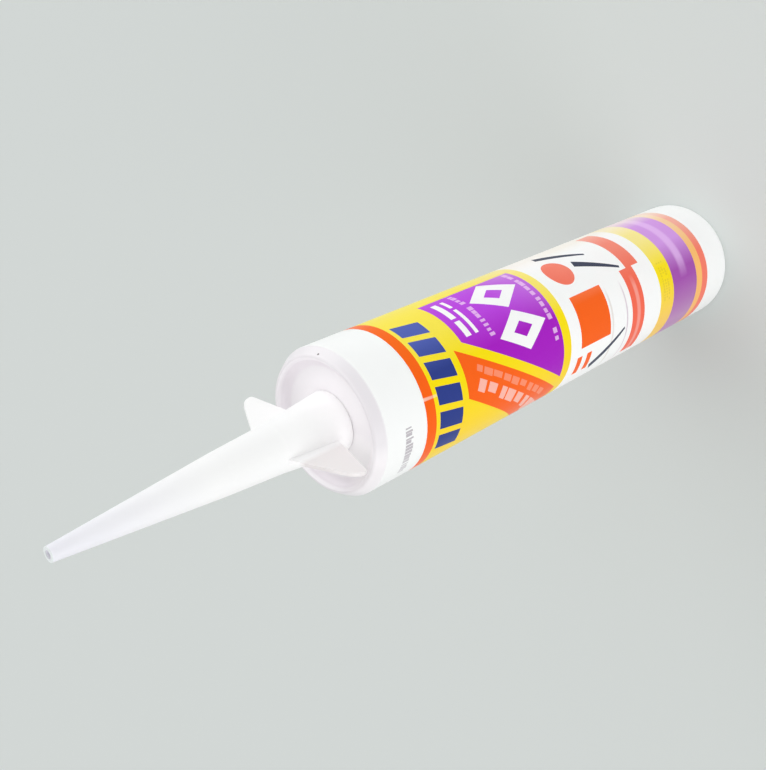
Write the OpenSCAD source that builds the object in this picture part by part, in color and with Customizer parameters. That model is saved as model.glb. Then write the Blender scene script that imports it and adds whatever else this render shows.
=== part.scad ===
// Sealant cartridge: a white barrel with a printed label, a winged nozzle screwed on its spout,
// and a ribbed piston behind the sealant. All lengths are millimetres.
// It stands on its open rear rim. The origin is the rim's centre, +Z runs along the axis towards
// the nozzle, and the middle of the label faces -Y.

/* [Barrel] */
// Length from the rear rim to the front rim
barrel_len = 212; // [204:1:240]
// Outer diameter
barrel_od = 50; // [48:0.5:56]
// Wall
barrel_wall = 1.6; // [1.2:0.1:2.2]
// Chamfer on both edges of the rear rim
rear_chamfer = 0.5; // [0.2:0.1:0.7]
// Chamfer on the small edges of the spout and piston
edge = 0.4; // [0.2:0.1:0.6]

/* [Front rim] */
// Distance from the front rim back to the end of the plain wall
shoulder_depth = 3.5; // [3:0.1:4.2]
// Radius of the edge between the wall and the rim's slope
shoulder_r = 0.9; // [0.5:0.1:1.4]
// Radius of the rim's crest
crest_r = 1.1; // [0.8:0.1:1.4]
// Depth of the front face below the rim
face_depth = 3.2; // [2.8:0.1:4]
// Distance from the outer wall to the flat part of the front face
face_inset = 7.3; // [7:0.1:8]
// Radius of the cove between the front face and the rim
cove_r = 3.8; // [3.4:0.1:4.2]
// Thickness of the front face
face_wall = 1.8; // [1.4:0.1:2.6]
// Radius of the round between the bore and the inner side of the head
head_round = 2.4; // [1.8:0.1:2.8]

/* [Spout] */
// Diameter of the spout at the root of its thread
spout_od = 13.6; // [12:0.2:15]
// Height of the spout above the front face
spout_height = 14; // [11:0.5:17]
// Wall of the spout
spout_wall = 1.8; // [1.4:0.1:2.4]
// Thickness of the membrane that closes the spout
membrane = 0.8; // [0.5:0.1:1.4]
// Radial space that the thread's ridge takes
thread_depth = 0.8; // [0.5:0.1:1.1]

/* [Nozzle] */
// Height of the tip above the front rim
nozzle_reach = 93; // [75:1:110]
// Gap between the thread's crest and the socket
thread_gap = 0.15; // [0.1:0.05:0.3]
// Gap between the spout's end and the shoulder inside the nozzle
end_gap = 0.5; // [0.2:0.1:1]
// Gap between the nozzle's base and the front face
seat_gap = 0.1; // [0.05:0.05:0.3]
// Wall of the nozzle at its base
base_wall = 2.75; // [2:0.05:3.5]
// Chamfer on the nozzle's base
base_edge = 0.15; // [0.1:0.05:0.4]
// Width of the shoulder that covers the spout's end
socket_shoulder = 0.6; // [0.3:0.1:1]
// Height of the neck above the socket
neck_rise = 8.7; // [6:0.1:11]
// Wall of the nozzle at its neck
neck_wall = 1.8; // [1.4:0.1:2.4]
// Height above the front rim at which the long taper starts
taper_start = 40; // [34:1:50]
// Outer diameter where the long taper starts
taper_od = 13.5; // [12:0.1:15]
// Wall along the long taper
taper_wall = 1.25; // [1:0.05:1.8]
// Outer diameter of the tip
tip_od = 4.5; // [4:0.1:6]
// Diameter of the outlet
outlet_d = 2.7; // [2:0.1:3.2]
// Length of the straight bore behind the outlet
outlet_len = 6; // [4:0.5:12]

/* [Wings] */
// Span over both wings
wing_span = 53.2; // [46:0.2:60]
// Thickness of a wing
wing_t = 1.2; // [0.8:0.1:2]
// Radius of the front of a wing's tip
wing_round = 5.9; // [4.5:0.1:7]
// Radius of the rear corner of a wing's tip
wing_corner = 1; // [0.6:0.1:2.5]
// Height of the tip's front radius above the rear edge
wing_lift = 1.6; // [1.2:0.1:3.6]
// Height of the wings' rear edge above the front rim, at the nozzle
wing_gap = 2.7; // [1:0.1:5]
// Slope of that edge
wing_slope = 14; // [0:1:20]
// Height of the wings' front edge above the front rim, at the nozzle
wing_top = 21.3; // [18:0.1:26]
// Azimuth of the first wing, from +X
wing_azimuth = 48; // [0:1:180]

/* [Piston] */
// Depth of the piston's rear rim inside the barrel
piston_depth = 12; // [6:0.5:20]
// Length from that rim to the flat of the crown
piston_len = 20; // [16:0.5:26]
// Radial running clearance of the sealing lips
lip_gap = 0.08; // [0.02:0.01:0.1]
// Height of a sealing lip
lip_height = 3; // [2:0.1:4]
// How far the skirt between the lips stands back
lip_step = 0.9; // [0.5:0.1:1.3]
// Wall of the skirt and of the crown
piston_wall = 1.5; // [1.2:0.1:2]
// Number of ribs in the rear of the piston
rib_count = 8; // [4:1:12]
// Thickness of a rib
rib_t = 1.2; // [0.8:0.1:1.6]
// Height of the ribs and of their hub
rib_height = 6; // [4:0.5:9]
// Outer diameter of the hub
hub_od = 16; // [12:0.5:22]

/* [Sealant] */
// Gap between the sealant and the barrel
fill_gap = 0.1; // [0.05:0.05:0.2]
// Gap between the sealant and the crown
crown_gap = 0.3; // [0.3:0.05:0.5]

/* [Label bands] */
// Thickness of the label film, which lies flush in the wall
film_t = 0.2; // [0.15:0.05:0.3]
// White wall in front of the label
front_margin = 20.7; // [16:0.1:24]
// White wall behind the label
rear_margin = 16; // [8:0.5:20]
// Width of the orange ring (these widths are then fitted between the margins)
orange_ring = 4.3; // [3:0.1:6]
// Width of the yellow band that carries the navy blocks
title_band = 20.7; // [18:0.1:24]
// Width of the band with the purple panel
panel_band = 47.1; // [44:0.1:50]
// Width of the yellow ring behind the panel
yellow_ring = 4.5; // [3:0.1:6]
// Width of the picture band
picture_band = 61.4; // [50:0.1:70]
// Width of the yellow ring behind the picture
rear_yellow = 9.9; // [7:0.1:12]
// Width of the purple ring
rear_purple = 18.4; // [16:0.1:21]
// Width of the peach ring
rear_peach = 4.5; // [3:0.1:6]
// Width of the coral ring
rear_coral = 4.5; // [3:0.1:6]

/* [Label shapes] */
// Number of navy blocks
block_count = 6; // [4:1:7]
// Angle that a navy block takes
block_angle = 13.8; // [9:0.1:15]
// Height of a navy block
block_h = 11; // [8:0.1:13]
// Slant of a navy block
block_slant = 2; // [-3:0.1:3]
// Yellow gap in front of the navy blocks
block_margin = 1.8; // [1:0.1:4]
// Angle between two navy blocks
block_pitch = 19; // [17:0.5:21]
// Azimuth of the middle of the row of blocks
block_azimuth = -9; // [-20:1:20]
// Azimuth of the middle of the purple panel's slanted edge
slant_azimuth = -21; // [-30:1:-12]
// Slope of that edge
slant_angle = 60; // [54:1:66]
// Width of the yellow border along it
slant_border = 3.5; // [2:0.1:5]
// Width of the orange band beside the border
slant_band = 13.9; // [8:0.1:15]
// How far the orange band starts in front of the panel
band_lead = 5; // [2:0.1:6]
// Azimuth of the purple panel's straight edge
panel_edge = 60; // [56:1:80]
// Length of a white diamond on the purple panel
diamond_l = 25; // [18:0.5:26]
// Angle that a white diamond takes
diamond_angle = 35; // [24:0.5:37]
// Share of a diamond that is open
diamond_open = 0.4; // [0.2:0.05:0.6]
// How far the diamonds lie behind the panel's middle
diamond_shift = 5.5; // [3:0.1:8]
// Purple gap in front of the first row of white bars
bar_margin = 3.4; // [2:0.1:5]
// Height of the bars in the first row
bar_h = 2.6; // [1.5:0.1:3]
// Height of the bars in the second row
thin_bar_h = 1.6; // [1:0.1:2.4]
// Purple gap between the two rows
bar_gap = 2; // [1:0.1:3]
// Length of the orange tile
tile_l = 19; // [14:0.5:22]
// Angle that the orange tile takes
tile_angle = 45; // [30:1:50]
// Width of the orange dashes
dash_w = 3.1; // [2:0.1:4]
// Width of the stepped coral band
step_band = 8.6; // [6:0.1:10]
// Diameter of the coral disc
disc_d = 13; // [9:0.5:15]
// Length of a tapered stroke
stroke_l = 22; // [15:0.5:24]
// Width of a tapered stroke at its wide end
stroke_w = 3.2; // [2:0.1:4]
// Width of a tapered stroke at its narrow end
stroke_tip = 1; // [0.6:0.1:1.4]

/* [Hidden] */
$fn = 96;

barrel_r = barrel_od / 2;
bore_r = barrel_r - barrel_wall;
face_z = barrel_len - face_depth;
face_r = barrel_r - face_inset;

// The rim's section is an edge arc, a straight slope, a crest arc and a cove arc, each tangent to
// the next.
shoulder = [barrel_r - shoulder_r, barrel_len - shoulder_depth];
cove_z = face_z + cove_r;
crest_z = barrel_len - crest_r;
crest_x = face_r + sqrt(pow(crest_r + cove_r, 2) - pow(cove_z - crest_z, 2));
crest = [crest_x, crest_z];
slope = direction(shoulder, crest) - acos((shoulder_r - crest_r) / norm(crest - shoulder));
crest_end = atan2(cove_z - crest_z, face_r - crest_x);

// The head's inner side keeps an even wall behind the front face, the cove and the slope.
head_z = face_z - face_wall;
side_x = bore_r - head_round;
side_z = shoulder[1] + (
    (shoulder[0] - side_x) * cos(slope) + shoulder_r - barrel_wall - head_round
) / sin(slope);

spout_r = spout_od / 2;
spout_bore_r = spout_r - spout_wall;
spout_top = face_z + spout_height;

socket_r = spout_r + thread_depth + thread_gap;
socket_top = spout_top + end_gap;
base_z = face_z + seat_gap;
base_r = socket_r + base_wall;
passage_r = spout_r - socket_shoulder;
neck_z = socket_top + neck_rise;
neck_r = passage_r + neck_wall;
taper_z = barrel_len + taper_start;
taper_r = taper_od / 2;
tip_z = barrel_len + nozzle_reach;
tip_r = tip_od / 2;
outlet_r = outlet_d / 2;

lip_r = bore_r - lip_gap;
skirt_r = lip_r - lip_step;
cup_r = skirt_r - piston_wall;
crown_z = piston_depth + piston_len;
cup_z = crown_z - piston_wall;
hub_r = hub_od / 2;

// The bands share what lies between the margins, and the shapes' lengths follow them.
fit = (barrel_len - front_margin - rear_margin) / (
    orange_ring + title_band + panel_band + yellow_ring + picture_band
    + rear_yellow + rear_purple + rear_peach + rear_coral
);

// Distances of the label's edges from the front rim.
orange_d = front_margin + fit * orange_ring;
panel_d = orange_d + fit * title_band;
panel_end_d = panel_d + fit * panel_band;
picture_d = panel_end_d + fit * yellow_ring;
picture_l = fit * picture_band;
picture_end_d = picture_d + picture_l;
yellow_end_d = picture_end_d + fit * rear_yellow;
purple_end_d = yellow_end_d + fit * rear_purple;
peach_end_d = purple_end_d + fit * rear_peach;
label_end_d = peach_end_d + fit * rear_coral;
block_l = fit * block_h;
block_d = orange_d + fit * block_margin + block_l / 2;
band_start_d = panel_d - fit * band_lead;
slant_d = (panel_d + panel_end_d) / 2;

// Azimuths of the shapes. In the picture, a shape's place is a share of the picture's width.
diamond_azimuths = [2, 40];
bar_ends = [14, 54];
bar_breaks = [30.5, 41.5];
bar_break = 3;
tile_at = [-14, 0.26];
disc_at = [34, 0.2];
dash_ends = [-62, -44];
dash_places = [0.08, 0.18];
step_azimuth = 12;
step_end = 70;
step_places = [0.66, 0.74];
stroke_azimuths = [52, 26, -50];
stroke_places = [0.38, 0.53, 0.42];
stroke_turns = [-24, -24, 30];

big = 2 * barrel_len;

orange_ink = [1.00, 0.37, 0.08];
yellow_ink = [1.00, 0.85, 0.14];
navy_ink = [0.15, 0.22, 0.58];
purple_ink = [0.60, 0.12, 0.78];
peach_ink = [1.00, 0.66, 0.42];
coral_ink = [0.98, 0.42, 0.33];
grey_ink = [0.27, 0.28, 0.34];
white_plastic = [0.96, 0.96, 0.97];

// Points along an arc, from one angle to another.
function arc(centre, r, from, to, steps = 10) =
    [for (i = [0:steps]) let (a = from + (to - from) * i / steps)
        centre + r * [cos(a), sin(a)]];

// The crossing of two circles that lies to the right of the line from the first to the second.
function crossing(c1, r1, c2, r2) =
    let (
        step = c2 - c1,
        d = norm(step),
        along = (r1 * r1 - r2 * r2 + d * d) / (2 * d),
        aside = sqrt(r1 * r1 - along * along)
    )
    c1 + (along * step + aside * [step[1], -step[0]]) / d;

function direction(from, to) = atan2(to[1] - from[1], to[0] - from[0]);

// Section of the head's inner side, from the axis out to the bore, drawn back by a gap.
// z is the height of its flat middle before that.
function head_curve(z, gap) =
    let (
        shift = z - head_z,
        flat = [face_r, cove_z + shift],
        flat_r = cove_r + face_wall + gap,
        side = [side_x, side_z + shift],
        side_r = head_round - gap,
        peak = crossing(side, side_r, flat, flat_r)
    )
    concat(
        [[0, z - gap]],
        arc(flat, flat_r, -90, direction(flat, peak)),
        arc(side, side_r, direction(side, peak), 0)
    );

function reversed(list) = [for (i = [len(list) - 1:-1:0]) list[i]];

// The same curve, kept inside the sealant's radius.
function trimmed(curve) = [for (p = curve) [min(p[0], bore_r - fill_gap), p[1]]];

module barrel() {
    color(white_plastic) rotate_extrude() polygon(concat(
        [
            [bore_r + rear_chamfer, 0],
            [barrel_r - rear_chamfer, 0],
            [barrel_r, rear_chamfer],
            [barrel_r, rear_margin],
            [barrel_r - film_t, rear_margin],
            [barrel_r - film_t, barrel_len - front_margin],
            [barrel_r, barrel_len - front_margin]
        ],
        arc(shoulder, shoulder_r, 0, slope),
        arc(crest, crest_r, slope, crest_end),
        arc([face_r, cove_z], cove_r, crest_end - 180, -90),
        [
            [spout_r + edge, face_z],
            [spout_r, face_z + edge],
            [spout_r, spout_top - edge],
            [spout_r - edge, spout_top],
            [0, spout_top],
            [0, spout_top - membrane],
            [spout_bore_r, spout_top - membrane],
            [spout_bore_r, head_z]
        ],
        [for (p = head_curve(head_z, 0)) if (p[0] > spout_bore_r) p],
        [[bore_r, rear_chamfer]]
    ));
}

module nozzle() {
    color(white_plastic) difference() {
        union() {
            rotate_extrude() polygon([
                [0, base_z],
                [base_r - base_edge, base_z],
                [base_r, base_z + base_edge],
                [neck_r, neck_z],
                [taper_r, taper_z],
                [tip_r, tip_z],
                [0, tip_z]
            ]);
            for (turn = [0, 180])
                rotate([0, 0, wing_azimuth + turn])
                    rotate([90, 0, 0])
                        linear_extrude(wing_t, center = true) wing_outline();
        }
        translate([0, 0, base_z - 1]) cylinder(h = socket_top - base_z + 1, r = socket_r);
        rotate_extrude() polygon([
            [0, socket_top - 1],
            [passage_r, socket_top - 1],
            [passage_r, neck_z],
            [taper_r - taper_wall, taper_z],
            [outlet_r, tip_z - outlet_len],
            [0, tip_z - outlet_len]
        ]);
        translate([0, 0, tip_z - outlet_len - 1]) cylinder(h = outlet_len + 2, r = outlet_r);
    }
}

// One wing, with x along the radius and y along the axis. Its outline starts on the rear edge inside
// the nozzle's wall and goes round the tip to the front edge.
module wing_outline() {
    heel = [base_r, barrel_len + wing_gap];
    along = [cos(wing_slope), sin(wing_slope)];
    across = [-along[1], along[0]];
    tip_x = wing_span / 2 - wing_round;
    tip = heel + (tip_x - heel[0] + wing_lift * along[1]) / along[0] * along + wing_lift * across;
    apart = wing_round - wing_corner;
    drop = wing_lift - wing_corner;
    corner = tip + sqrt(apart * apart - drop * drop) * along - drop * across;
    root = [passage_r + neck_wall / 2, barrel_len + wing_top];
    turn = direction(tip, corner);
    touch = direction(tip, root) - acos(wing_round / norm(root - tip));
    polygon(concat(
        [root, [root[0], heel[1] - (heel[0] - root[0]) * tan(wing_slope)]],
        arc(corner, wing_corner, wing_slope - 90, turn),
        arc(tip, wing_round, turn, touch)
    ));
}

module piston() {
    color(white_plastic) {
        rotate_extrude() polygon(concat(
            [
                [cup_r, piston_depth],
                [lip_r - edge, piston_depth],
                [lip_r, piston_depth + edge],
                [lip_r, piston_depth + lip_height],
                [skirt_r, piston_depth + lip_height + lip_step],
                [skirt_r, crown_z - 2 * lip_height - lip_step],
                [lip_r, crown_z - 2 * lip_height],
                [lip_r, crown_z - lip_height]
            ],
            reversed(head_curve(crown_z + crown_gap, crown_gap)),
            [[0, cup_z], [cup_r - 1, cup_z], [cup_r, cup_z - 1]]
        ));
        translate([0, 0, cup_z - rib_height]) {
            difference() {
                cylinder(h = rib_height + edge, r = hub_r);
                translate([0, 0, -1]) cylinder(h = rib_height + 3, r = hub_r - rib_t);
            }
            for (i = [0:rib_count - 1])
                rotate([0, 0, 360 / rib_count * i])
                    translate([hub_r - rib_t / 2, -rib_t / 2, 0])
                        cube([cup_r - hub_r + rib_t, rib_t, rib_height + edge]);
        }
    }
}

module sealant() {
    color([0.93, 0.94, 0.93]) rotate_extrude() polygon(concat(
        trimmed(head_curve(crown_z + crown_gap, 0)),
        reversed([for (p = head_curve(head_z, fill_gap)) if (p[0] > spout_bore_r) p]),
        [
            [spout_bore_r - fill_gap, head_z - fill_gap],
            [spout_bore_r - fill_gap, spout_top - membrane - fill_gap],
            [0, spout_top - membrane - fill_gap]
        ]
    ));
}

// A ring of label film between two distances from the front rim.
module film(from_d, to_d) {
    translate([0, 0, barrel_len - to_d]) difference() {
        cylinder(h = to_d - from_d, r = barrel_r);
        translate([0, 0, -1]) cylinder(h = to_d - from_d + 2, r = barrel_r - film_t);
    }
}

// The space between two azimuths and two distances from the front rim.
module span(from_a, to_a, from_d, to_d) {
    mid_a = (from_a + to_a) / 2;
    translate([0, 0, barrel_len - to_d])
        linear_extrude(to_d - from_d)
            polygon(concat([[0, 0]], [for (a = [from_a, mid_a, to_a]) barrel_od * [sin(a), -cos(a)]]));
}

// A flat shape, x round the barrel and y towards the nozzle, pressed through the film's near side.
module stamp(azimuth, d) {
    rotate([0, 0, azimuth])
        translate([0, 0, barrel_len - d])
            rotate([90, 0, 0])
                linear_extrude(barrel_od) children();
}

// Width of a flat shape that takes an angle of the barrel's wall.
function width(angle) = barrel_od * sin(angle / 2);

module navy_area() {
    lean = block_slant / 2;
    block_w = width(block_angle);
    for (i = [0:block_count - 1])
        stamp(block_azimuth + (i - (block_count - 1) / 2) * block_pitch, block_d)
            polygon([
                [-block_w / 2 - lean, -block_l / 2],
                [block_w / 2 - lean, -block_l / 2],
                [block_w / 2 + lean, block_l / 2],
                [-block_w / 2 + lean, block_l / 2]
            ]);
}

// The half plane on the rear side of the purple panel's slanted edge, moved forward by a distance.
module slant_side(forward) {
    stamp(slant_azimuth, slant_d)
        rotate(slant_angle)
            translate([-big / 2, -big + forward]) square(big);
}

module orange_band_area() {
    difference() {
        intersection() {
            slant_side(slant_border + slant_band);
            film(band_start_d, panel_end_d);
        }
        slant_side(slant_border);
    }
}

module panel_area() {
    intersection() {
        slant_side(0);
        span(-90, panel_edge, panel_d, panel_end_d);
    }
}

module diamond(l, w) {
    polygon([[-w / 2, 0], [0, -l / 2], [w / 2, 0], [0, l / 2]]);
}

// A row of two white bars with a break between them.
module bar_row(from_d, height, break_azimuth) {
    span(bar_ends[0], break_azimuth - bar_break / 2, from_d, from_d + height);
    span(break_azimuth + bar_break / 2, bar_ends[1], from_d, from_d + height);
}

// White shapes on the purple panel: two open diamonds and two rows of bars.
module panel_mark_area() {
    l = fit * diamond_l;
    w = width(diamond_angle);
    row_d = panel_d + fit * bar_margin;
    for (azimuth = diamond_azimuths)
        stamp(azimuth, slant_d + fit * diamond_shift) difference() {
            diamond(l, w);
            diamond(l * diamond_open, w * diamond_open);
        }
    bar_row(row_d, fit * bar_h, bar_breaks[0]);
    bar_row(row_d + fit * (bar_h + bar_gap), fit * thin_bar_h, bar_breaks[1]);
}

// Distance of a place in the picture band from the front rim.
function place_d(place) = picture_d + picture_l * place;

// The picture's place holds a plain tile, dashes, a disc, a stepped band and tapered strokes.
module picture_orange_area() {
    stamp(tile_at[0], place_d(tile_at[1]))
        square([width(tile_angle), fit * tile_l], center = true);
    for (place = dash_places)
        span(dash_ends[0], dash_ends[1], place_d(place), place_d(place) + fit * dash_w);
}

module picture_coral_area() {
    d = [place_d(step_places[0]), place_d(step_places[1])];
    span(-step_end, step_azimuth, d[0], d[0] + fit * step_band);
    span(step_azimuth, step_end, d[1], d[1] + fit * step_band);
    stamp(disc_at[0], place_d(disc_at[1])) circle(d = fit * disc_d);
}

module picture_grey_area() {
    half_l = fit * stroke_l / 2;
    for (i = [0:len(stroke_azimuths) - 1])
        stamp(stroke_azimuths[i], place_d(stroke_places[i]))
            rotate(stroke_turns[i])
                polygon([
                    [-stroke_tip / 2, -half_l],
                    [stroke_tip / 2, -half_l],
                    [stroke_w / 2, half_l],
                    [-stroke_w / 2, half_l]
                ]);
}

module label_orange() {
    color(orange_ink) {
        film(front_margin, orange_d);
        orange_band_area();
        intersection() {
            film(picture_d, picture_end_d);
            picture_orange_area();
        }
    }
}

module label_yellow() {
    color(yellow_ink) {
        difference() {
            film(orange_d, picture_d);
            navy_area();
            orange_band_area();
            panel_area();
        }
        film(picture_end_d, yellow_end_d);
    }
}

module label_navy() {
    color(navy_ink) intersection() {
        film(orange_d, panel_d);
        navy_area();
    }
}

module label_purple() {
    color(purple_ink) {
        difference() {
            intersection() {
                film(panel_d, panel_end_d);
                panel_area();
            }
            panel_mark_area();
        }
        film(yellow_end_d, purple_end_d);
    }
}

module label_white() {
    color([0.98, 0.98, 0.98]) {
        intersection() {
            film(panel_d, panel_end_d);
            panel_mark_area();
        }
        difference() {
            film(picture_d, picture_end_d);
            picture_orange_area();
            picture_coral_area();
            picture_grey_area();
        }
    }
}

module label_peach() {
    color(peach_ink) film(purple_end_d, peach_end_d);
}

module label_coral() {
    color(coral_ink) {
        film(peach_end_d, label_end_d);
        intersection() {
            film(picture_d, picture_end_d);
            picture_coral_area();
        }
    }
}

module label_grey() {
    color(grey_ink) intersection() {
        film(picture_d, picture_end_d);
        picture_grey_area();
    }
}

barrel();
nozzle();
piston();
sealant();
label_orange();
label_yellow();
label_navy();
label_purple();
label_white();
label_peach();
label_coral();
label_grey();
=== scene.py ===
"""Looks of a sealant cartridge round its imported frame: materials, fine print, the spout's thread,
floor, light and the photograph's camera. Lengths are metres unless a name ends in _MM, and
angles are radians unless a comment says degrees. The upper and lower side are those of the
photograph, and azimuths grow from the middle of the label towards the upper side."""

import math

import bmesh
import bpy
from mathutils import Matrix, Vector


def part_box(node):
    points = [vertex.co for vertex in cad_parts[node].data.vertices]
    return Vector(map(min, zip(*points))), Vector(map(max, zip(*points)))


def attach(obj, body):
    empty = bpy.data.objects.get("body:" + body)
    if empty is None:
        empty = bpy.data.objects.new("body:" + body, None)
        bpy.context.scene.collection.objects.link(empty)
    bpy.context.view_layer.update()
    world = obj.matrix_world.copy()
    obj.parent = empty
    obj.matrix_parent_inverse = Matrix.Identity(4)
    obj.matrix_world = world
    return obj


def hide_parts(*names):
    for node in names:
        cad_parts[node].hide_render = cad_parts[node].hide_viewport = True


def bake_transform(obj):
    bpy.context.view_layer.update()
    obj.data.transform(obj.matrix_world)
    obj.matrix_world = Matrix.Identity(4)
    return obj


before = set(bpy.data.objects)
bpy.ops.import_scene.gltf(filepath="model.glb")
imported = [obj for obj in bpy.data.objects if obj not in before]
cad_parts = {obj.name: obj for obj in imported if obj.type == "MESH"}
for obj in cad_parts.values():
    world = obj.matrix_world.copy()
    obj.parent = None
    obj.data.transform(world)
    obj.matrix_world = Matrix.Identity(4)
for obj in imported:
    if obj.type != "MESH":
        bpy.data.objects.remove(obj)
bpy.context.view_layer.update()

# Sizes that follow from the frame.
barrel_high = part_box("barrel")[1]
nozzle_low, nozzle_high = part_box("nozzle")
orange_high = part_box("label_orange")[1]

MM = 0.001
BARREL_R = barrel_high.x
FRONT_MARGIN = 0.0207
RIM_Z = orange_high.z + FRONT_MARGIN
SPOUT_TOP = barrel_high.z
SEAT_GAP = 0.0001
FACE_Z = nozzle_low.z - SEAT_GAP

# The barrel's head: the distance behind the rim over which its grey ends, the distance from the axis over
# which the front face turns into the rim's painted shade, and the painted highlight along the rim's inner
# edge, with its place from the axis and the distance behind the rim over which it ends.
HEAD_END_MM = (3.0, 3.5)
RIM_START_MM = (20.6, 22.2)
INNER_EDGE_MM = 21.6
INNER_EDGE_HALF_MM = 0.7
INNER_EDGE_DEPTH_MM = (0.8, 1.6)

# The dark speck on the rim's crest.
SPECK_AZIMUTH = math.radians(58.5)
SPECK_R = BARREL_R - 0.00152
SPECK_Z = RIM_Z - 0.0009
SPECK_SIZE = 0.00036

# Azimuths on the head, which has a painted shadow of the nozzle round the first and painted light round the
# second, and how far each reaches to both sides.
HEAD_SHADE_AZIMUTH, HEAD_SHADE_HALF = 0.0, 0.75
HEAD_LIGHT_AZIMUTH, HEAD_LIGHT_HALF = -1.15, 0.6

# The nozzle: where it turns violet, and the depth of its flat end.
VIOLET_START = RIM_Z + 0.045
TIP_DEPTH = 0.0002

# The nozzle's wing with painted shade: the plane of both wings from +X, the distances from it that take in
# the wing and its narrow edge, and the distances from the axis over which their painted shade starts and
# ends.
WING_AZIMUTH = math.radians(48)
WING_HALF = 0.0007
WING_EDGE_HALF = 0.00057
WING_START = (0.0106, 0.0125)
WING_EDGE_END = (0.018, 0.021)

# The purple panel's slanted edge, as the label's solids have it.
SLANT_AZIMUTH = math.radians(-21)
SLANT_ANGLE = math.radians(60)
SLANT_D_MM = 69.25
SLANT_BORDER_MM = 3.5

# Distances behind the rim: the picture, and the places beyond which yellow and purple, and then
# coral, are the ink of a rear ring.
PICTURE_MM = (97.0, 156.0)
REAR_RINGS_MM = 150.0
CORAL_RING_MM = 180.0

# Thin lines in the print, with their distance behind the rim and their half width: the light ones
# on the purple ring and the coral band, and the two curved ones in the picture.
RING_LIGHT_MM = (177.5, 3.2)
BAND_LIGHT_MM = (142.4, 1.5)
REAR_CURVE_MM = (134.2, 0.55)
FRONT_CURVE_MM = (124.4, 0.7)

# The pale streak across the label's front: two distances behind the rim, and its place round the wall, its
# half width or its strength at each of them.
STREAK_PLACE_MM = (20.9, 31.8, -6.2, -7.0)
STREAK_HALF_MM = (20.7, 32.0, 0.7, 0.35)
STREAK_STRENGTH = (20.7, 33.0, 0.6, 0.0)
STREAK_TONE = (1.0, 0.86, 0.74)

# Azimuths over which the print's painted light and shade start and end. All of them fade before the back.
UPPER_END = (1.9, 2.9)
LOWER_START = (-2.6, -1.7)
LOWER_END = (-0.1, 0.1)
UPPER_LIGHT_START = (0.0, 0.5)

# What the inks pale to in their painted highlight, the distance behind the rim over which that starts, and
# its two steps round the upper side, each with the azimuths of its start and end and how much it adds.
PALE = (0.97, 0.88, 0.76)
HIGHLIGHT_START_MM = (70.0, 130.0)
HIGHLIGHT_STEPS = ((0.0, 0.6, 0.33), (0.75, 1.15, 0.45))

# The range that holds most values of a noise.
NOISE_RANGE = (0.3, 0.7)

# The spout's thread.
SPOUT_R = 0.0068
THREAD_HEIGHT = 0.00072
THREAD_PITCH = 0.003
THREAD_FOOT = 0.0017
THREAD_CREST = 0.0007
THREAD_SUNK = 0.0002
THREAD_START = FACE_Z + 0.0032
THREAD_END = SPOUT_TOP - 0.0022
THREAD_STEPS = 72
THREAD_FADE = 0.12
THREAD_SHARP = math.radians(30)

# Camera fitted to the photograph, in the row frame, with the rim's plane as its height mark.
CAMERA_AT = Vector((0.0, -0.24978, RIM_Z + 0.17825))
CAMERA_RIGHT = Vector((-0.42584, -0.57395, -0.69946))
CAMERA_UP = Vector((0.90473, -0.27959, -0.32139))
CAMERA_BACK = Vector((-0.01110, -0.76968, 0.63833))
CAMERA_LENS_MM = 46.15
CAMERA_NEAR, CAMERA_FAR = 0.01, 50
SENSOR_MM = 36.0

# The floor. Its paint is BACKGROUND over FLOOR_SHARE, which is how bright the light makes a white
# floor, so that it shows BACKGROUND.
FLOOR_SIZE = 8.0
BACKGROUND = (0.638, 0.672, 0.658)
FLOOR_SHARE = 0.985

# The world's brightness, and how it changes along each axis.
WORLD_LEVEL = 0.77
WORLD_SLOPE = Vector((0.05, -0.14, -0.08))

# The wide lamps: azimuth from the middle of the label and height in degrees, and power.
LAMPS = ((100.0, 8.0, 1.15), (-58.0, 8.0, 1.4), (75.0, 50.0, 0.5))
LAMP_ANGLE = math.radians(60)


def add(name, data):
    """A new object in the scene."""
    thing = bpy.data.objects.new(name, data)
    bpy.context.scene.collection.objects.link(thing)
    return thing


def direction(azimuth, height=0.0):
    """The unit vector at an azimuth from the middle of the label and a height over the floor."""
    flat = math.cos(height)
    return Vector((flat * math.sin(azimuth), -flat * math.cos(azimuth), math.sin(height)))


def make_camera():
    data = bpy.data.cameras.new("camera")
    data.sensor_width = SENSOR_MM
    data.lens = CAMERA_LENS_MM
    data.clip_start = CAMERA_NEAR
    data.clip_end = CAMERA_FAR
    camera = add("camera", data)
    rotation = Matrix((CAMERA_RIGHT, CAMERA_UP, CAMERA_BACK)).transposed()
    camera.matrix_world = Matrix.Translation(CAMERA_AT) @ rotation.to_4x4()
    bpy.context.scene.camera = camera


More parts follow.
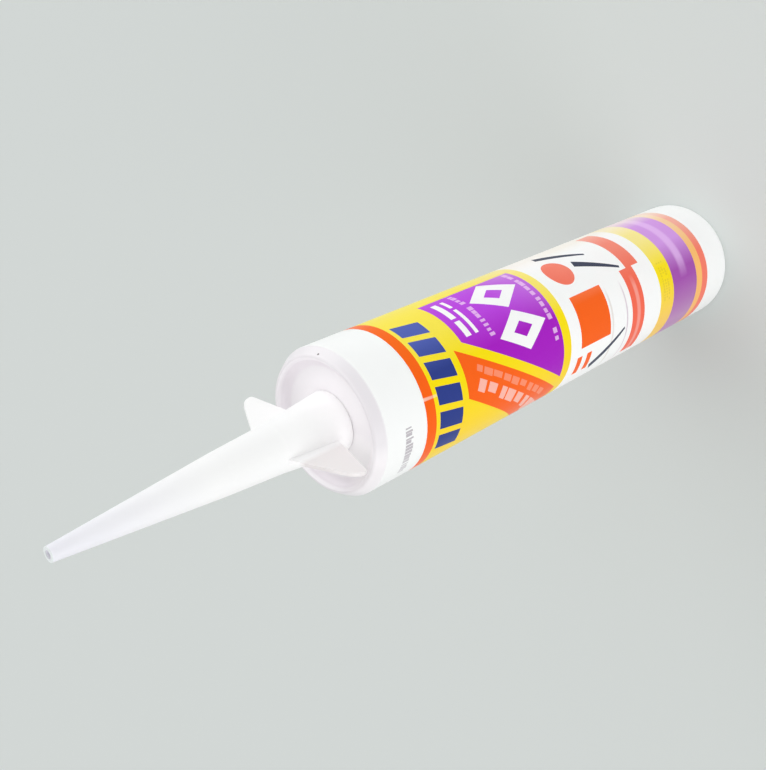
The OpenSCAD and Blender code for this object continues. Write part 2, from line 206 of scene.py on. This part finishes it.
class Shader:
    """One node material on a Principled shader. Each method that makes a node returns its socket."""

    def __init__(self, name, base, roughness, **sockets):
        self.material = bpy.data.materials.new(name)
        self.material.use_nodes = True
        self.material.diffuse_color = (*base, 1)
        self.tree = self.material.node_tree
        self.surface = self.tree.nodes["Principled BSDF"]
        self.surface.inputs["Base Color"].default_value = (*base, 1)
        self.surface.inputs["Roughness"].default_value = roughness
        self.surface.inputs["Subsurface Radius"].default_value = (1, 1, 1)
        for socket, value in sockets.items():
            self.surface.inputs[socket.replace("_", " ")].default_value = value
        self.place = self.tree.nodes.new("ShaderNodeTexCoord").outputs["Object"]
        parts = self.tree.nodes.new("ShaderNodeSeparateXYZ")
        self.tree.links.new(self.place, parts.inputs[0])
        self.x, self.y, self.z = parts.outputs

    def put(self, value, socket):
        if isinstance(value, bpy.types.NodeSocket):
            self.tree.links.new(value, socket)
        elif isinstance(value, tuple):
            socket.default_value = value if len(value) == len(socket.default_value) else (*value, 1)
        else:
            socket.default_value = value

    def math(self, operation, a, b=0.0):
        node = self.tree.nodes.new("ShaderNodeMath")
        node.operation = operation
        self.put(a, node.inputs[0])
        self.put(b, node.inputs[1])
        return node.outputs[0]

    def times(self, *values):
        result = values[0]
        for value in values[1:]:
            result = self.math("MULTIPLY", result, value)
        return result

    def within(self, value, low, high):
        """1 where value lies between low and high, and 0 elsewhere."""
        return self.times(
            self.math("GREATER_THAN", value, low), self.math("LESS_THAN", value, high)
        )

    def noise(self, scale, detail=2.0, stretch=(1, 1, 1)):
        mapping = self.tree.nodes.new("ShaderNodeMapping")
        self.put(self.place, mapping.inputs["Vector"])
        self.put(stretch, mapping.inputs["Scale"])
        node = self.tree.nodes.new("ShaderNodeTexNoise")
        self.put(mapping.outputs[0], node.inputs["Vector"])
        self.put(scale, node.inputs["Scale"])
        self.put(detail, node.inputs["Detail"])
        return node.outputs["Fac"]

    def spread(self, value, low, high, to_low, to_high):
        """to_low up to low and to_high from high on, with an even change between them."""
        node = self.tree.nodes.new("ShaderNodeMapRange")
        names = ("Value", "From Min", "From Max", "To Min", "To Max")
        for name, number in zip(names, (value, low, high, to_low, to_high)):
            self.put(number, node.inputs[name])
        return node.outputs["Result"]

    def rise(self, value, low, high, top=1.0):
        """0 up to low and top from high on."""
        return self.spread(value, low, high, 0.0, top)

    def fall(self, value, low, high, top=1.0):
        """top up to low and 0 from high on."""
        return self.spread(value, low, high, top, 0.0)

    def line(self, place, middle, half_width):
        """A soft line where place is within half_width of middle."""
        away = self.math("ABSOLUTE", self.math("SUBTRACT", place, middle))
        return self.fall(away, self.math("MULTIPLY", half_width, 0.5), half_width)

    def mix(self, share, first, second):
        node = self.tree.nodes.new("ShaderNodeMix")
        node.data_type = "RGBA"
        colours = [s for s in node.inputs if s.type == "RGBA"]
        self.put(share, node.inputs["Factor"])
        self.put(first, colours[0])
        self.put(second, colours[1])
        return next(s for s in node.outputs if s.type == "RGBA")

    def bump(self, height, distance):
        node = self.tree.nodes.new("ShaderNodeBump")
        self.put(height, node.inputs["Height"])
        self.put(distance, node.inputs["Distance"])
        self.tree.links.new(node.outputs[0], self.surface.inputs["Normal"])

    def paint(self, colour):
        self.put(colour, self.surface.inputs["Base Color"])

    def azimuth(self):
        """The angle round the axis, 0 at the middle of the label."""
        return self.math("ARCTAN2", self.x, self.math("MULTIPLY", self.y, -1.0))

    def axis_mm(self):
        """The distance from the axis."""
        square = self.math("ADD", self.times(self.x, self.x), self.times(self.y, self.y))
        return self.math("MULTIPLY", self.math("SQRT", square), 1 / MM)

    def behind_rim_mm(self):
        """The distance behind the front rim."""
        return self.math("MULTIPLY", self.math("SUBTRACT", RIM_Z, self.z), 1 / MM)

    def round_mm(self):
        """The distance round the wall from the middle of the label."""
        return self.math("MULTIPLY", self.azimuth(), BARREL_R / MM)

    def strokes(self, along, across, box, pitch, cell, kept, seed=0.0):
        """Rows of short strokes inside box, which is (along low, along high, across low, across high).
        pitch is the distance between rows, cell the longest stroke with its gap, and kept the share
        of the cells that hold a stroke. Lengths and heights vary from cell to cell."""
        row = self.math("DIVIDE", self.math("SUBTRACT", across, box[2]), pitch)
        place = self.math("DIVIDE", self.math("SUBTRACT", along, box[0]), cell)
        cells = self.tree.nodes.new("ShaderNodeCombineXYZ")
        self.put(self.math("FLOOR", place), cells.inputs[0])
        self.put(self.math("FLOOR", row), cells.inputs[1])
        self.put(seed, cells.inputs[2])
        chance = self.tree.nodes.new("ShaderNodeTexWhiteNoise")
        self.put(cells.outputs[0], chance.inputs["Vector"])
        parts = self.tree.nodes.new("ShaderNodeSeparateColor")
        self.put(chance.outputs["Color"], parts.inputs[0])
        height = self.spread(parts.outputs[1], 0.0, 1.0, 0.5, 0.72)
        length = self.spread(parts.outputs[2], 0.0, 1.0, 0.5, 0.95)
        return self.times(
            self.within(along, box[0], box[1]),
            self.within(across, box[2], box[3]),
            self.math("LESS_THAN", self.math("FRACT", row), height),
            self.math("LESS_THAN", parts.outputs[0], kept),
            self.math("LESS_THAN", self.math("FRACT", place), length),
        )


def head_colour(s, mottle):
    """The barrel's head: greyer on the rim than on the front face, which is painted shade, with a painted
    highlight along the rim's inner edge, a painted shadow of the nozzle towards the middle of the label and
    painted light on the lower side."""
    face, rim = (0.885, 0.835, 0.88), (0.77, 0.745, 0.77)
    shaded_face, shaded_rim = (0.82, 0.775, 0.81), (0.75, 0.72, 0.75)
    edge_highlight_tone, mottle_tone, painted_light_tone = (0.95, 0.92, 0.95), (0.84, 0.80, 0.835), (0.98, 0.94, 0.96)
    axis_mm = s.axis_mm()
    on_rim = s.rise(axis_mm, *RIM_START_MM)
    inner_edge_highlight = s.times(
        s.line(axis_mm, INNER_EDGE_MM, INNER_EDGE_HALF_MM),
        s.fall(s.behind_rim_mm(), *INNER_EDGE_DEPTH_MM),
    )
    azimuth = s.azimuth()
    dark = s.line(azimuth, HEAD_SHADE_AZIMUTH, HEAD_SHADE_HALF)
    pale = s.line(azimuth, HEAD_LIGHT_AZIMUTH, HEAD_LIGHT_HALF)
    # The rim's extra grey is painted shade on its slope, and the pale line along its inner edge is a
    # painted highlight.
    colour = s.mix(on_rim, face, rim)
    colour = s.mix(inner_edge_highlight, colour, edge_highlight_tone)
    colour = s.mix(s.times(mottle, 0.4), colour, mottle_tone)
    # A painted shadow of the nozzle towards the middle of the label, then painted light on the lower side.
    colour = s.mix(dark, colour, s.mix(on_rim, shaded_face, shaded_rim))
    return s.mix(s.times(pale, s.spread(on_rim, 0.0, 1.0, 1.0, 0.55)), colour, painted_light_tone)


def barrel_plastic():
    """A white film on the wall, greyer plastic on the head with painted shade and painted light on it, a
    faint batch mark and one dark speck.
    """
    s = Shader("barrel_plastic", (0.95, 0.95, 0.95), 0.3, Subsurface_Weight=0.12, Subsurface_Scale=0.002)
    d, round_mm = s.behind_rim_mm(), s.round_mm()
    mottle = s.rise(s.noise(60.0), *NOISE_RANGE)
    white, grey_print, dark = (0.998, 0.998, 0.998), (0.30, 0.24, 0.30), (0.10, 0.08, 0.09)
    wall = s.mix(mottle, (0.985, 0.985, 0.985), white)
    colour = s.mix(s.fall(d, *HEAD_END_MM), wall, head_colour(s, mottle))
    batch = s.strokes(round_mm, d, box=(-30.0, -12.0, 11.2, 14.6), pitch=4.6, cell=1.25, kept=0.85)
    strength = s.spread(round_mm, -30.0, -20.0, 0.4, 0.65)
    colour = s.mix(s.times(batch, strength), colour, grey_print)
    speck_at = SPECK_R * direction(SPECK_AZIMUTH) + Vector((0, 0, SPECK_Z))
    away = s.tree.nodes.new("ShaderNodeVectorMath")
    away.operation = "DISTANCE"
    s.put(s.place, away.inputs[0])
    s.put(tuple(speck_at), away.inputs[1])
    speck = s.math("LESS_THAN", away.outputs["Value"], SPECK_SIZE)
    s.paint(s.mix(speck, colour, dark))
    s.bump(s.noise(500.0, 3.0), 0.00004)
    return s.material


def nozzle_plastic():
    """Thin natural polyethylene, a little violet towards the tip and greyer on its flat end, with painted
    shade on the wing that lies opposite WING_AZIMUTH, darker on that wing's narrow edge."""
    s = Shader("nozzle_plastic", (0.94, 0.935, 0.955), 0.33, Subsurface_Weight=0.25, Subsurface_Scale=0.002)
    white, violet, flow_tone = (0.985, 0.975, 0.975), (0.80, 0.79, 0.87), (0.95, 0.935, 0.95)
    wing_shade, wing_edge_shade, end_grey = (0.83, 0.79, 0.79), (0.74, 0.70, 0.70), (0.76, 0.81, 0.81)
    colour = s.mix(s.rise(s.z, VIOLET_START, nozzle_high.z), white, violet)
    flow = s.rise(s.noise(90.0, 3.0, (1, 1, 0.12)), 0.35, 0.65, 0.35)
    colour = s.mix(flow, colour, flow_tone)
    ux, uy = math.cos(WING_AZIMUTH), math.sin(WING_AZIMUTH)
    aside = s.math("ABSOLUTE", s.math("SUBTRACT", s.times(s.x, uy), s.times(s.y, ux)))
    out = s.math("ADD", s.times(s.x, -ux), s.times(s.y, -uy))
    wing = s.times(s.math("LESS_THAN", aside, WING_HALF), s.rise(out, *WING_START))
    edge = s.times(s.math("LESS_THAN", aside, WING_EDGE_HALF), s.fall(out, *WING_EDGE_END))
    # Painted shade: the nozzle's shadow on the wing, darker still on its narrow edge.
    colour = s.mix(wing, colour, s.mix(edge, wing_shade, wing_edge_shade))
    end = s.math("GREATER_THAN", s.z, nozzle_high.z - TIP_DEPTH)
    s.paint(s.mix(end, colour, end_grey))
    s.bump(s.noise(350.0, 2.0, (1, 1, 0.3)), 0.00005)
    return s.material


def piston_plastic():
    s = Shader("piston_plastic", (0.82, 0.825, 0.84), 0.45, Subsurface_Weight=0.1, Subsurface_Scale=0.002)
    s.paint(s.mix(s.noise(120.0, 3.0), (0.78, 0.785, 0.8), (0.86, 0.865, 0.87)))
    s.bump(s.noise(400.0, 3.0), 0.00006)
    return s.material


def sealant_paste():
    s = Shader("sealant_paste", (0.8, 0.82, 0.82), 0.15, Subsurface_Weight=0.5, Subsurface_Scale=0.006)
    s.paint(s.mix(s.noise(40.0, 4.0), (0.76, 0.79, 0.79), (0.86, 0.87, 0.87)))
    s.bump(s.noise(80.0, 4.0), 0.0003)
    return s.material


class Ink(Shader):
    """One printed colour with hardly any gloss: it turns into a second, lighter one on the upper side as
    painted light, and pales towards the upper rear corner as a painted highlight, with a faint mottle and
    fine grain. full is the colour before it pales, and upper and lower are the sides that the painted light
    and shade keep to."""

    def __init__(self, name, colour, depth=0.03, second=None):
        super().__init__(name, colour, 0.3, Specular_IOR_Level=0.1)
        azimuth = self.azimuth()
        self.upper = self.fall(azimuth, *UPPER_END)
        self.lower = self.times(self.fall(azimuth, *LOWER_END), self.rise(azimuth, *LOWER_START))
        # Painted light: the second colour on the upper side.
        upper_light = self.times(self.upper, self.rise(azimuth, *UPPER_LIGHT_START))
        mottle = self.rise(self.noise(45.0, 3.0), *NOISE_RANGE, depth)
        grain = self.rise(self.noise(4000.0, 1.0), *NOISE_RANGE, 0.04)
        base = self.mix(upper_light, colour, second or colour)
        dark = tuple(c * 0.2 for c in colour)
        self.full = self.mix(self.math("ADD", mottle, grain), base, dark)
        # Painted highlight towards the upper rear corner.
        pale = self.math("ADD", *(self.rise(azimuth, *step) for step in HIGHLIGHT_STEPS))
        pale = self.times(pale, self.upper, self.rise(self.behind_rim_mm(), *HIGHLIGHT_START_MM))
        self.colour = self.mix(pale, self.full, PALE)
        self.paint(self.colour)
        self.bump(self.noise(700.0, 2.0), 0.00002)

    def pale_streak(self, colour):
        """A pale streak that crosses the front rings of the film and ends behind them."""
        d = self.behind_rim_mm()
        middle = self.spread(d, *STREAK_PLACE_MM)
        half_width = self.spread(d, *STREAK_HALF_MM)
        strength = self.spread(d, *STREAK_STRENGTH)
        crossing = self.line(self.round_mm(), middle, half_width)
        return self.mix(self.times(crossing, strength), colour, STREAK_TONE)

    def slant_places(self):
        """Places along and across the label's slanted edge, in millimetres, as its solids are cut."""
        turn = self.math("SUBTRACT", self.azimuth(), SLANT_AZIMUTH)
        side = self.times(self.math("SINE", turn), BARREL_R / MM)
        up = self.math("SUBTRACT", SLANT_D_MM, self.behind_rim_mm())
        across_x, across_y = -math.sin(SLANT_ANGLE), math.cos(SLANT_ANGLE)
        along = self.math("ADD", self.times(side, across_y), self.times(up, -across_x))
        across = self.math("ADD", self.times(side, across_x), self.times(up, across_y))
        return along, across


def orange_ink():
    """Two rows of paler strokes run along the slanted band, and a pale streak crosses the front ring."""
    # The second colour is painted light on the upper side.
    s = Ink("orange_ink", (1.0, 0.13, 0.006), second=(1.0, 0.15, 0.006))
    along, across = s.slant_places()
    ends, low = (-26.0, 22.0), SLANT_BORDER_MM + 2.2
    big_box, small_box = (*ends, low + 4.2, low + 8.9), (*ends, low, low + 3.0)
    big_tone, small_tone = (1.0, 0.78, 0.72), (1.0, 0.62, 0.48)
    big = s.strokes(along, across, big_box, pitch=6.6, cell=6.0, kept=0.95, seed=4.0)
    small = s.strokes(along, across, small_box, pitch=4.0, cell=5.0, kept=0.85, seed=5.0)
    colour = s.mix(s.times(big, 0.55), s.colour, big_tone)
    colour = s.mix(s.times(small, 0.3), colour, small_tone)
    s.paint(s.pale_streak(colour))
    return s.material


def yellow_ink():
    """Warmer and darker on the lower side as painted shade, most of all on the rear ring, and lighter on
    the upper side as painted light; the rear ring has rows of faint strokes.
    """
    s = Ink("yellow_ink", (1.0, 0.78, 0.002), second=(1.0, 0.83, 0.08))
    front_shade, rear_shade, print_tone = (1.0, 0.64, 0.04), (0.97, 0.52, 0.20), (0.45, 0.30, 0.05)
    d = s.behind_rim_mm()
    marks = s.strokes(
        s.round_mm(), d, box=(-14.0, 2.0, 161.2, 166.4), pitch=1.7, cell=1.1, kept=0.8, seed=7.0
    )
    # Painted shade on the lower side, deeper on the rear ring.
    low = s.times(s.lower, s.fall(s.azimuth(), -0.9, -0.2, 0.6))
    rear = s.math("GREATER_THAN", d, REAR_RINGS_MM)
    colour = s.mix(low, s.colour, s.mix(rear, front_shade, rear_shade))
    colour = s.mix(s.times(marks, 0.22), colour, print_tone)
    s.paint(s.pale_streak(colour))
    return s.material


def purple_ink():
    """Violet on the panel, with fine print along its edges, and a greyer violet on the rear ring, which is
    lighter on the upper side as painted light, has a light line and pales towards both ends as a painted
    highlight."""
    s = Ink("purple_ink", (0.40, 0.010, 0.56), second=(0.52, 0.060, 0.78))
    ring_low, ring_highlight = (0.37, 0.08, 0.43), (0.66, 0.32, 0.80)
    print_tone, light_tone = (0.93, 0.62, 0.95), (0.88, 0.58, 0.98)
    d, round_mm = s.behind_rim_mm(), s.round_mm()
    front_print = s.strokes(
        round_mm, d, box=(3.0, 26.0, 59.0, 62.2), pitch=3.4, cell=1.9, kept=0.9, seed=11.0
    )
    rear_print = s.strokes(
        round_mm, d, box=(-8.0, 26.0, 88.6, 91.4), pitch=3.2, cell=2.6, kept=0.95, seed=13.0
    )
    fine_print = s.math("MAXIMUM", front_print, rear_print)
    panel = s.mix(s.times(fine_print, 0.7), s.colour, print_tone)
    # Painted light: the ring is lighter on the upper side.
    ring = s.mix(s.times(s.upper, s.rise(s.azimuth(), -0.15, 0.35)), ring_low, ring_highlight)
    light = s.times(s.line(d, *RING_LIGHT_MM), s.upper, s.rise(round_mm, -8.0, 1.0, 0.55))
    ring = s.mix(light, ring, light_tone)
    # Painted highlight towards both ends of the ring.
    upper_highlight = s.times(s.upper, s.rise(round_mm, 22.0, 31.0, 0.7))
    lower_highlight = s.times(s.lower, s.fall(round_mm, -26.0, -8.0, 0.22))
    ring = s.mix(s.math("ADD", upper_highlight, lower_highlight), ring, PALE)
    s.paint(s.mix(s.math("GREATER_THAN", d, REAR_RINGS_MM), panel, ring))
    return s.material


def coral_ink():
    """Stronger on the picture's shapes, which take the painted highlight only in part, than on the rear
    ring, with one pale line along the band.
    """
    s = Ink("coral_ink", (0.96, 0.15, 0.085))
    d = s.behind_rim_mm()
    colour = s.mix(0.55, s.colour, s.full)
    colour = s.mix(s.times(s.line(d, *BAND_LIGHT_MM), s.lower, 0.45), colour, (1.0, 0.55, 0.5))
    s.paint(s.mix(s.math("GREATER_THAN", d, CORAL_RING_MM), colour, s.mix(0.08, s.colour, PALE)))
    return s.material


def white_ink():
    """White film with two thin curved lines and a faint warm shade in the picture, turning to the painted
    highlight's tone towards the upper side.
    """
    s = Ink("white_ink", (0.99, 0.99, 0.99), 0.005)
    rear_tone, front_tone, warm_tone = (0.42, 0.20, 0.36), (0.50, 0.36, 0.26), (1.0, 0.95, 0.95)
    d = s.behind_rim_mm()
    # Painted highlight's tone on the upper side.
    colour = s.mix(s.times(s.upper, s.rise(s.azimuth(), 0.9, 1.15, 0.6)), s.full, PALE)
    colour = s.mix(s.times(s.line(d, *REAR_CURVE_MM), s.lower, 0.5), colour, rear_tone)
    colour = s.mix(s.times(s.line(d, *FRONT_CURVE_MM), s.lower, 0.3), colour, front_tone)
    warm = s.times(s.rise(s.noise(55.0), 0.45, 0.6, 0.35), s.within(d, *PICTURE_MM))
    s.paint(s.mix(warm, colour, warm_tone))
    return s.material


def grey_ink():
    """The dark strokes in the picture, which don't pale."""
    s = Ink("grey_ink", (0.05, 0.058, 0.10))
    s.paint(s.full)
    return s.material


def navy_ink():
    # The second colour is painted light on the upper side.
    return Ink("navy_ink", (0.028, 0.05, 0.26), second=(0.09, 0.13, 0.48)).material


def peach_ink():
    return Ink("peach_ink", (1.0, 0.53, 0.16)).material


MATERIALS = {
    "barrel": barrel_plastic,
    "nozzle": nozzle_plastic,
    "piston": piston_plastic,
    "sealant": sealant_paste,
    "label_orange": orange_ink,
    "label_yellow": yellow_ink,
    "label_purple": purple_ink,
    "label_navy": navy_ink,
    "label_white": white_ink,
    "label_peach": peach_ink,
    "label_coral": coral_ink,
    "label_grey": grey_ink,
}


def dress_nodes():
    for name, make in MATERIALS.items():
        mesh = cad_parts[name].data
        mesh.materials.clear()
        mesh.materials.append(make())


def spout_thread():
    """The raised screw thread on the spout, which the nozzle hides until it is taken off."""
    turns = (THREAD_END - THREAD_START) / THREAD_PITCH
    count = int(turns * THREAD_STEPS)
    mesh = bmesh.new()
    rings = []
    for i in range(count + 1):
        share = i / count
        angle = 2 * math.pi * turns * share
        z = THREAD_START + THREAD_PITCH * turns * share
        fade = min(1.0, share / THREAD_FADE, (1 - share) / THREAD_FADE)
        height = THREAD_HEIGHT * math.sin(fade * math.pi / 2)
        section = [
            (SPOUT_R - THREAD_SUNK, -THREAD_FOOT / 2),
            (SPOUT_R, -THREAD_FOOT / 2),
            (SPOUT_R + height, -THREAD_CREST / 2),
            (SPOUT_R + height, THREAD_CREST / 2),
            (SPOUT_R, THREAD_FOOT / 2),
            (SPOUT_R - THREAD_SUNK, THREAD_FOOT / 2),
        ]
        rings.append([
            mesh.verts.new((r * math.cos(angle), r * math.sin(angle), z + lift)) for r, lift in section
        ])
    for first, second in zip(rings, rings[1:]):
        for k in range(len(first)):
            following = (k + 1) % len(first)
            mesh.faces.new((first[k], first[following], second[following], second[k]))
    mesh.faces.new(rings[0][::-1])
    mesh.faces.new(rings[-1])
    bmesh.ops.recalc_face_normals(mesh, faces=mesh.faces)
    data = bpy.data.meshes.new("spout_thread")
    mesh.to_mesh(data)
    mesh.free()
    piece = add("spout_thread", data)
    data.materials.append(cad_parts["barrel"].data.materials[0])
    data.set_sharp_from_angle(angle=THREAD_SHARP)
    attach(piece, "cartridge")


def paste():
    """The sealant, a copy of its node that stands in for it: its rear end lies on the piston's crown and
    its front end in the head.
    """
    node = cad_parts["sealant"]
    piece = add("paste", node.data.copy())
    piece.matrix_world = node.matrix_world.copy()
    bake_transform(piece)
    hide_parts("sealant")


def make_floor():
    data = bpy.data.meshes.new("floor")
    h = FLOOR_SIZE / 2
    data.from_pydata([(-h, -h, 0), (h, -h, 0), (h, h, 0), (-h, h, 0)], [], [(0, 1, 2, 3)])
    floor = add("floor", data)
    material = bpy.data.materials.new("floor")
    material.use_nodes = True
    surface = material.node_tree.nodes["Principled BSDF"]
    surface.inputs["Base Color"].default_value = (*(c / FLOOR_SHARE for c in BACKGROUND), 1)
    surface.inputs["Roughness"].default_value = 1.0
    surface.inputs["Specular IOR Level"].default_value = 0.0
    data.materials.append(material)


def make_light():
    """A pale world whose brightness changes evenly from one side to the other, and wide lamps."""
    world = bpy.data.worlds.new("world")
    bpy.context.scene.world = world
    world.use_nodes = True
    tree = world.node_tree
    background = tree.nodes["Background"]
    place = tree.nodes.new("ShaderNodeTexCoord").outputs["Generated"]
    slope = tree.nodes.new("ShaderNodeVectorMath")
    slope.operation = "DOT_PRODUCT"
    tree.links.new(place, slope.inputs[0])
    slope.inputs[1].default_value = WORLD_SLOPE
    level = tree.nodes.new("ShaderNodeMath")
    level.operation = "ADD"
    tree.links.new(slope.outputs["Value"], level.inputs[0])
    level.inputs[1].default_value = WORLD_LEVEL
    tree.links.new(level.outputs[0], background.inputs["Strength"])
    background.inputs["Color"].default_value = (1, 1, 1, 1)
    for azimuth, height, power in LAMPS:
        sun = bpy.data.lights.new("lamp", "SUN")
        sun.energy = power
        sun.angle = LAMP_ANGLE
        lamp = add("lamp", sun)
        lamp.rotation_mode = "QUATERNION"
        shining_from = direction(math.radians(azimuth), math.radians(height))
        lamp.rotation_quaternion = shining_from.to_track_quat("Z", "Y")


bpy.context.scene.view_settings.view_transform = "Standard"
make_camera()
dress_nodes()
spout_thread()
paste()
make_floor()
make_light()
